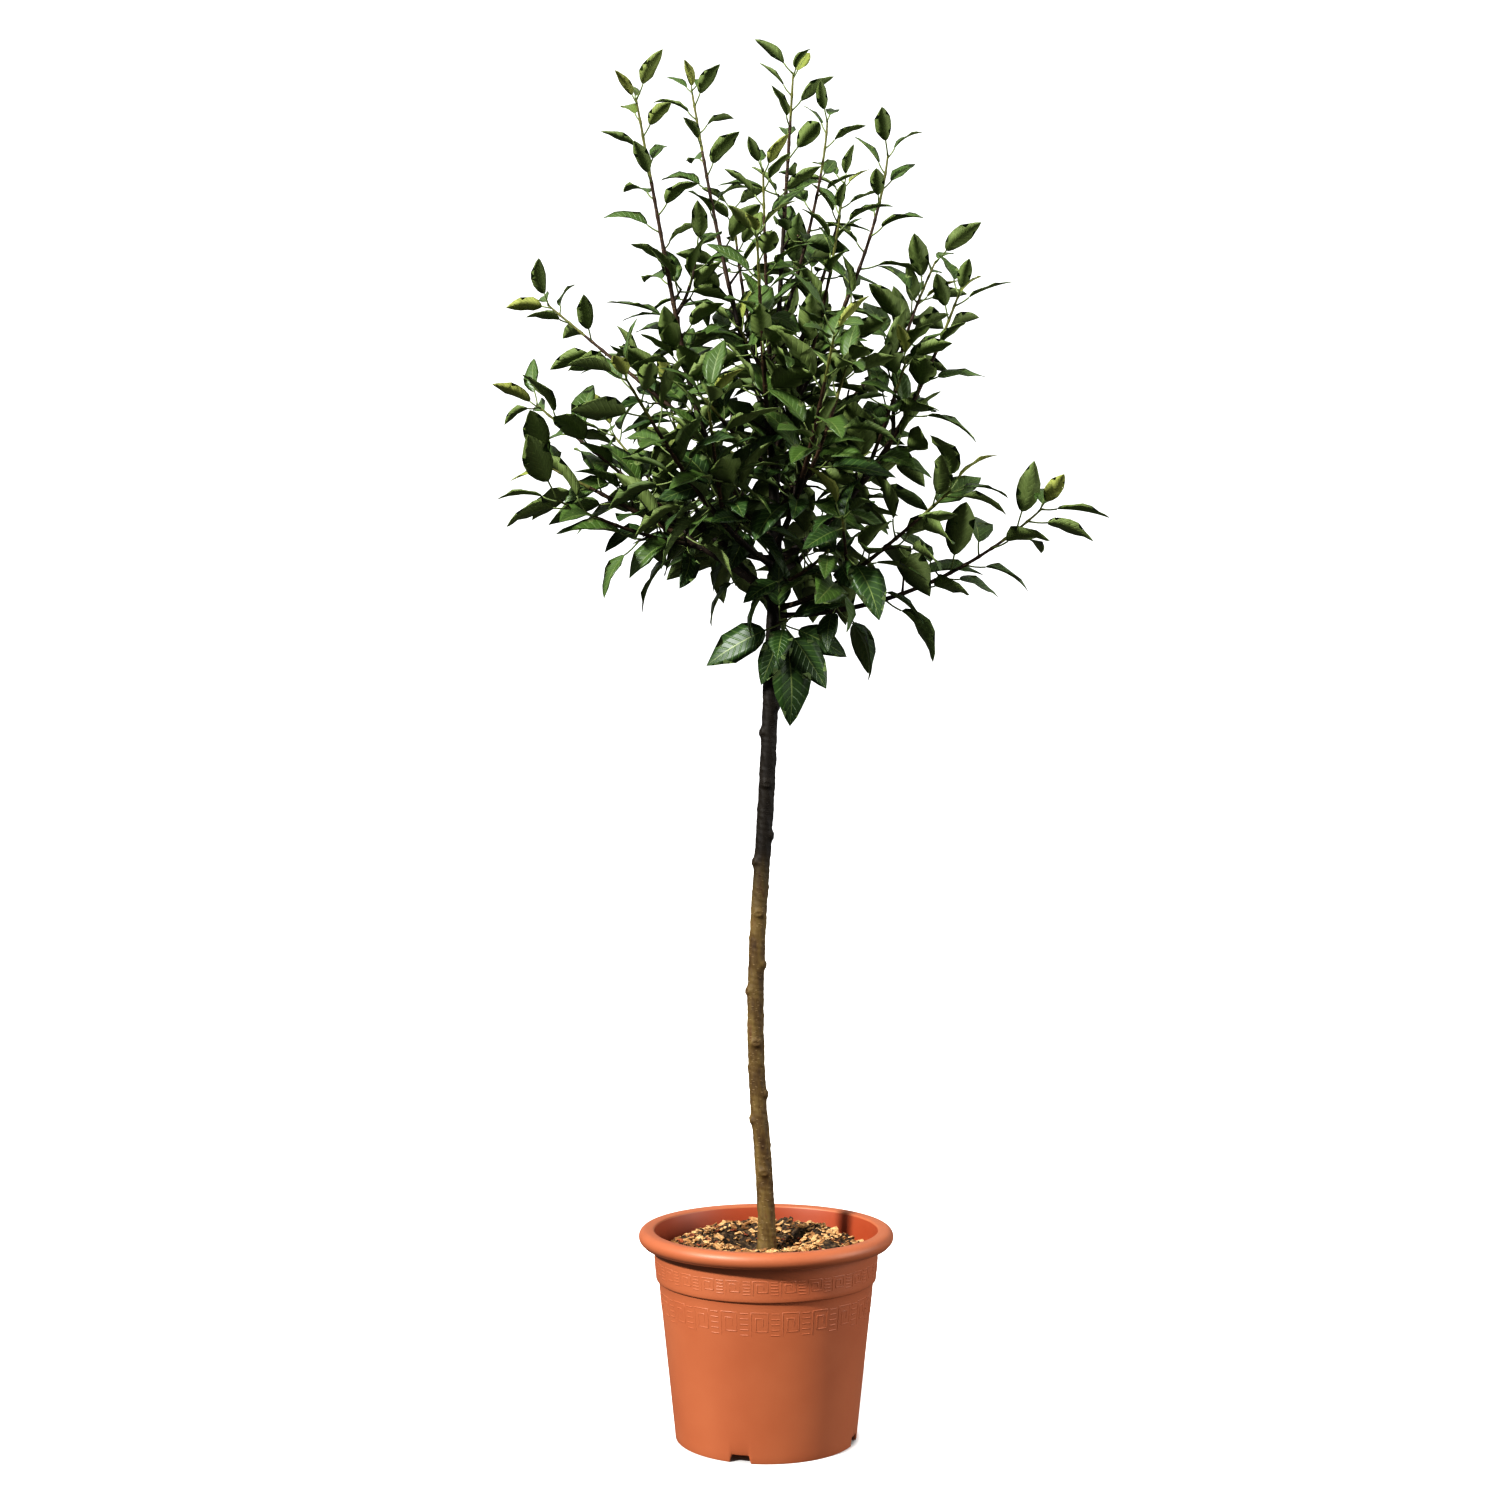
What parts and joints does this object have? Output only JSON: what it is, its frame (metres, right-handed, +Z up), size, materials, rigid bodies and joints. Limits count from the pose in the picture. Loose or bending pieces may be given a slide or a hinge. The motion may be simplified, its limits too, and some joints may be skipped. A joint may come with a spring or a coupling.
{
  "type": "potted apple tree",
  "caption": "Young half-standard fruit tree with a clear stem and an airy, upright leafy crown, in a tapered plastic pot with a rolled rim.",
  "frame": {"origin": "middle of the pot's foot, on the surface that the pot stands on", "axes": "+Z up along the pot's axis, +X to the viewer's right in the picture, +Y away from the viewer"},
  "size_m": [0.7434, 0.6296, 1.6374],
  "materials": {
    "pot": "satin terracotta polypropylene",
    "soil": "moist bark compost",
    "bark": "smooth young bark",
    "leaves": "satin leaf"
  },
  "bodies": {
    "root": {"pot": "pot", "soil": "soil", "trunk": "bark", "bough_left_low": "bark", "bough_left_high": "bark", "bough_left_rear": "bark", "bough_right_high": "bark", "bough_right_mid": "bark", "bough_right_low": "bark", "bough_front_left": "bark", "bough_front_right": "bark", "bough_front_mid": "bark", "bough_rear_left": "bark", "bough_rear_right": "bark", "bough_rear_mid": "bark", "foliage_skirt": "leaves", "foliage_left_low": "leaves", "foliage_left_high": "leaves", "foliage_left_rear": "leaves", "foliage_right_high": "leaves", "foliage_right_mid": "leaves", "foliage_right_low": "leaves", "foliage_front_left": "leaves", "foliage_front_right": "leaves", "foliage_front_mid": "leaves", "foliage_rear_left": "leaves", "foliage_rear_right": "leaves", "foliage_rear_mid": "leaves", "foliage_top_left": "leaves", "foliage_top_right": "leaves", "foliage_side_right": "leaves", "foliage_top_front": "leaves", "foliage_side_front": "leaves", "foliage_top_rear": "leaves", "foliage_side_rear": "leaves", "foliage_crown_tip": "leaves", "foliage_heart_low": "leaves", "foliage_heart_left": "leaves", "foliage_heart_front": "leaves", "foliage_heart_rear": "leaves", "foliage_heart_right": "leaves", "foliage_heart_high": "leaves", "foliage_heart_deep": "leaves"}
  },
  "joints": []
}
